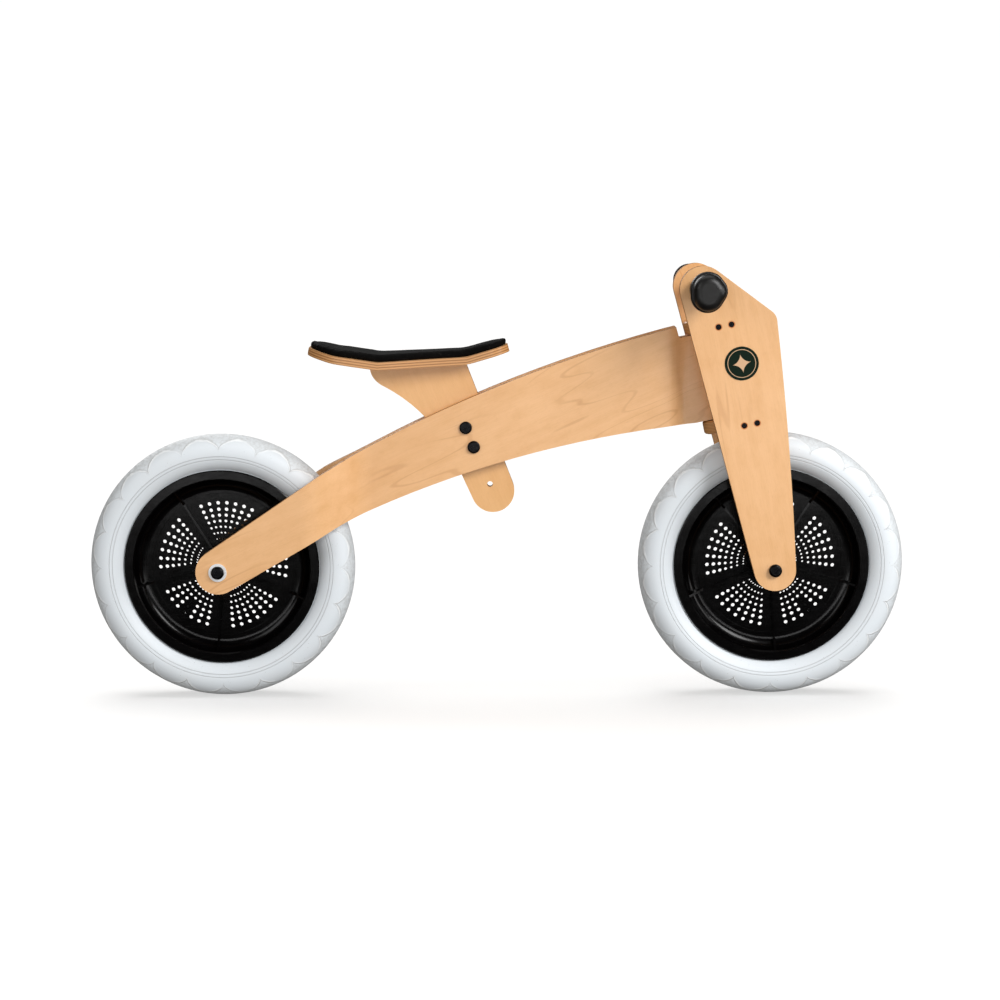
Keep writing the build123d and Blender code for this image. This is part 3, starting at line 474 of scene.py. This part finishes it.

# %% [markdown]
# The small parts share a few finishes: blackened steel bolts, bright zinc washers, charcoal rubber
# grips, black rubber inside the wheels and dark plastic bushes. Steel gets a fine grain and lighter
# worn patches, and rubber gets a matt skin with a little texture.

# %% Metal and rubber of the small parts
def metal(name, colour, worn, rough, metallic=1.0):
    paint = Paint(name)
    grain = paint.noise(paint.place, 900, 3.0)
    scuff = paint.noise(paint.place, 220, 4.0, 0.65).rise(0.52, 0.8)
    tint = paint.blend(scuff * 0.7, colour, worn)
    return paint.finish(Base_Color=tint, Metallic=metallic, Roughness=grain * 0.14 + scuff * 0.1 + rough,
                        Normal=paint.bump(grain, 0.03 * MM))


def rubber(name, colour, pale, rough, texture):
    paint = Paint(name)
    skin = paint.noise(paint.place, texture, 3.0, 0.6)
    dust = paint.noise(paint.place, 70, 4.0, 0.6)
    tint = paint.blend(dust.rise(0.45, 0.85) * 0.6, colour, pale)
    return paint.finish(Base_Color=tint, Roughness=skin * 0.18 + rough, Specular_IOR_Level=0.45,
                        Normal=paint.bump(skin, 0.12 * MM))


black_steel = metal("blackened steel", (0.013, 0.013, 0.014), (0.06, 0.06, 0.06), 0.28)
zinc = metal("bright zinc", (0.86, 0.87, 0.88), (0.70, 0.70, 0.71), 0.36, 0.45)
grip_rubber = rubber("grip rubber", (0.006, 0.0054, 0.005), (0.014, 0.013, 0.012), 0.30, 1500)
tube_rubber = rubber("tube rubber", (0.012, 0.012, 0.012), (0.03, 0.03, 0.03), 0.5, 700)
bush_plastic = rubber("bush plastic", (0.02, 0.02, 0.021), (0.04, 0.04, 0.04), 0.32, 500)

FINISHES = {
    "black_steel": black_steel, "zinc_steel": zinc, "grip_rubber": grip_rubber,
    "tube_rubber": tube_rubber, "valve_rubber": tube_rubber, "bush_plastic": bush_plastic,
}
dressed = [part for part, slot in SLOT_OF.items() if slot in FINISHES]
for part in dressed:
    nodes[part].data.materials[0] = FINISHES[SLOT_OF[part]]
print("small parts dressed:", len(dressed), "slots:", sorted(set(SLOT_OF.values())))

# %% [markdown]
# The seat pad is a strip of black foam glued to the seat sheet. It starts as a copy of the solid
# pad. A voxel remesh gives it even faces, and a short cloth simulation with a little pressure
# swells it, so that its top crowns softly and its edges lose their knife-sharp corners. How far a
# point may move is capped, because real foam of this kind is firm and stays in its outline.

# %% Foam seat pad
PAD_VOXEL, PAD_CAP = 0.0022, 0.0007


def merged_copy(name, node):
    """A new piece with the solid part's mesh, its loose triangles joined."""
    piece = bpy.data.objects.new(name, nodes[node].data.copy())
    bpy.context.scene.collection.objects.link(piece)
    work = bmesh.new()
    work.from_mesh(piece.data)
    bmesh.ops.remove_doubles(work, verts=work.verts, dist=1e-5)
    bmesh.ops.recalc_face_normals(work, faces=work.faces)
    work.to_mesh(piece.data)
    work.free()
    return piece


def apply_modifiers(piece):
    graph = bpy.context.evaluated_depsgraph_get()
    mesh = bpy.data.meshes.new_from_object(piece.evaluated_get(graph))
    piece.modifiers.clear()
    piece.data = mesh


def swell(piece, pressure, cap):
    """Cloth with pressure for twenty frames, then no point further than cap from its start."""
    before = [v.co.copy() for v in piece.data.vertices]
    cloth = piece.modifiers.new("swell", "CLOTH")
    cloth.settings.use_pressure = True
    cloth.settings.uniform_pressure_force = pressure
    cloth.settings.effector_weights.gravity = 0
    cloth.settings.tension_stiffness = cloth.settings.compression_stiffness = 40
    for step in range(1, 21):
        bpy.context.scene.frame_set(step)
    apply_modifiers(piece)
    bpy.context.scene.frame_set(1)
    for v, start in zip(piece.data.vertices, before):
        move = v.co - start
        if move.length > cap:
            v.co = start + move * (cap / move.length)


pad = merged_copy("seat_foam_pad", "seat_pad")
voxels = pad.modifiers.new("voxels", "REMESH")
voxels.mode, voxels.voxel_size = "VOXEL", PAD_VOXEL
apply_modifiers(pad)
work = bmesh.new()
work.from_mesh(pad.data)
for _ in range(3):
    bmesh.ops.smooth_vert(work, verts=work.verts, factor=0.5, use_axis_x=True, use_axis_y=True,
                          use_axis_z=True)
work.to_mesh(pad.data)
work.free()
swell(pad, 4.0, PAD_CAP)
finer = pad.modifiers.new("finer", "SUBSURF")
finer.levels = finer.render_levels = 1
pad.data.shade_smooth()
print("pad vertices:", len(pad.data.vertices))

# %% [markdown]
# Cut foam shows its open cells on the sides as pale flecks, while its top keeps a smooth skin,
# painted a little lighter than the sides as if lit from above. The surface's own direction tells the
# two apart.

# %% Foam finish
foam = Paint("black foam")
up = foam.facing()[2]
cells = foam.specks(foam.place, 900)
clumps = foam.noise(foam.place, 260, 3.0, 0.7)
side = 1 - abs(up).rise(0.45, 0.8)
fleck = clumps.rise(0.56, 0.70) * (1 - cells.rise(0.15, 0.6))
foam_colour = foam.blend(fleck * side * 0.7, (0.0018, 0.0016, 0.0015), (0.03, 0.027, 0.024))
# Painted light: the top is painted a little lighter than the sides, as if lit from above.
foam_colour = foam.blend((1 - side) * 0.75, foam_colour, (0.005, 0.0047, 0.0045))
pad.data.materials.clear()
pad.data.materials.append(foam.finish(
    Base_Color=foam_colour, Roughness=clumps * 0.15 + 0.78, Specular_IOR_Level=0.08,
    Normal=foam.bump(cells * side + clumps * 0.3, 0.35 * MM)))
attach(pad, "frame")
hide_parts("seat_pad")
print("pad rides on the frame")

# %% [markdown]
# Each plank carries a round dark green disc. The solid disc keeps its shape, and its finish draws
# a plain pale ring round a simple four-pointed star, a pattern that stands for no maker.

# %% Green disc
def green_disc(name, node):
    paint = Paint(name)
    centre = middle(node)
    moved = paint.turned(LEAN, move=tuple(-centre))
    x, _, z = paint.axes(moved)
    radius = (x * x + z * z) ** 0.5
    ring = radius.band(15.2 * MM, 0.28 * MM, 0.12 * MM)
    reach = abs(x) ** 0.62 + abs(z) ** 0.62
    star = 1 - reach.rise((10.2 * MM) ** 0.62, (10.7 * MM) ** 0.62)
    mottle = paint.noise(paint.place, 500, 3.0)
    base = paint.blend(mottle * 0.5, (0.0022, 0.0105, 0.0048), (0.0035, 0.016, 0.0075))
    colour = paint.blend(ring.highest(star) * 0.92, base, (0.66, 0.42, 0.25))
    return paint.finish(Base_Color=colour, Roughness=mottle * 0.15 + 0.45,
                        Specular_IOR_Level=0.12, Normal=paint.bump(mottle, 0.03 * MM))


for side_name in ("right", "left"):
    badge = "badge_" + side_name
    nodes[badge].data.materials[0] = green_disc(badge + " film", badge)
print("discs on the planks done")

# %% [markdown]
# The bike stands on a wide pale floor. Suns above brighten the floor alone, so that it
# runs into the white surroundings and only the bike's own soft shadow is left on it. The floor is
# also kept out of reflections, so that the glossy black discs stay black.

# %% Floor and surroundings
floor_work = bmesh.new()
bmesh.ops.create_grid(floor_work, x_segments=8, y_segments=8, size=14)
floor_mesh = bpy.data.meshes.new("floor")
floor_work.to_mesh(floor_mesh)
floor_work.free()
floor = bpy.data.objects.new("floor", floor_mesh)
bpy.context.scene.collection.objects.link(floor)
floor.visible_glossy = floor.visible_diffuse = False
pale = Paint("pale floor")
floor_tone = pale.blend(pale.noise(pale.place, 3.0, 2.0) * 0.4, (0.93, 0.93, 0.93), (0.92, 0.92, 0.92))
floor_mesh.materials.append(pale.finish(Base_Color=floor_tone, Roughness=0.9))

AMBIENT = 0.30                          # light from all round; the backdrop itself shows as white
world = bpy.data.worlds.new("studio")
bpy.context.scene.world = world
world.use_nodes = True
sky = world.node_tree.nodes["Background"]
seen = world.node_tree.nodes.new("ShaderNodeLightPath")
strength = world.node_tree.nodes.new("ShaderNodeMath")
strength.operation = "MULTIPLY_ADD"
strength.inputs[1].default_value, strength.inputs[2].default_value = 1.02 - AMBIENT, AMBIENT
world.node_tree.links.new(seen.outputs["Is Camera Ray"], strength.inputs[0])
world.node_tree.links.new(strength.outputs[0], sky.inputs["Strength"])
tint = world.node_tree.nodes.new("ShaderNodeMix")
tint.data_type = "RGBA"
tint.inputs[6].default_value, tint.inputs[7].default_value = (1, 0.97, 0.93, 1), (1, 1, 1, 1)
world.node_tree.links.new(seen.outputs["Is Camera Ray"], tint.inputs[0])
world.node_tree.links.new(tint.outputs[2], sky.inputs["Color"])
world.cycles_visibility.glossy = False
print("floor and surroundings ready")

# %% [markdown]
# Soft boxes light the bike like a product on a table: the main one high in front on the right, a
# weaker one on the left, one above, one behind for the far side, and a low one at the end of the
# bike whose sheen runs along the bends of the lacquered wood. Two suns light the floor alone, and
# only the weaker one casts shadows, so the bike's shadow stays faint.

# %% Lights
floor_only, all_but_floor = (bpy.data.collections.new(n) for n in ("floor only", "all but floor"))
for group in (floor_only, all_but_floor):
    group.objects.link(floor)
all_but_floor.collection_objects[0].light_linking.link_state = "EXCLUDE"


def soft_light(name, place, target, size, power):
    data = bpy.data.lights.new(name, "AREA")
    data.shape, data.size, data.size_y, data.energy = "RECTANGLE", size[0], size[1], power
    lamp = bpy.data.objects.new(name, data)
    bpy.context.scene.collection.objects.link(lamp)
    lamp.location = place
    lamp.rotation_euler = (Vector(target) - Vector(place)).to_track_quat("-Z", "Y").to_euler()
    lamp.light_linking.receiver_collection = all_but_floor


soft_light("key", (1.9, -2.1, 1.9), (0, 0, 0.25), (1.3, 1.3), 76)
soft_light("fill", (-2.2, -2.0, 1.3), (0, 0, 0.25), (1.4, 1.4), 17)
soft_light("low", (0.0, -2.3, 0.12), (0, 0, 0.12), (3.0, 0.2), 12)
soft_light("top", (0.0, 0.2, 2.6), (0, 0, 0.2), (2.4, 1.4), 15)
soft_light("behind", (-1.2, 2.4, 1.8), (0, 0, 0.25), (1.6, 1.6), 36)
soft_light("end", (2.3, -0.75, 0.7), (-0.2, 0, 0.3), (0.7, 1.2), 15)

def floor_sun(name, energy, angle, shadow):
    sun = bpy.data.objects.new(name, bpy.data.lights.new(name, "SUN"))
    sun.data.energy, sun.data.angle, sun.data.use_shadow = energy, math.radians(angle), shadow
    sun.rotation_euler = (math.radians(-9), 0, 0)
    bpy.context.scene.collection.objects.link(sun)
    sun.light_linking.receiver_collection = floor_only


floor_sun("floor wash", 1.15, 50, True)
floor_sun("floor lift", 1.75, 50, False)
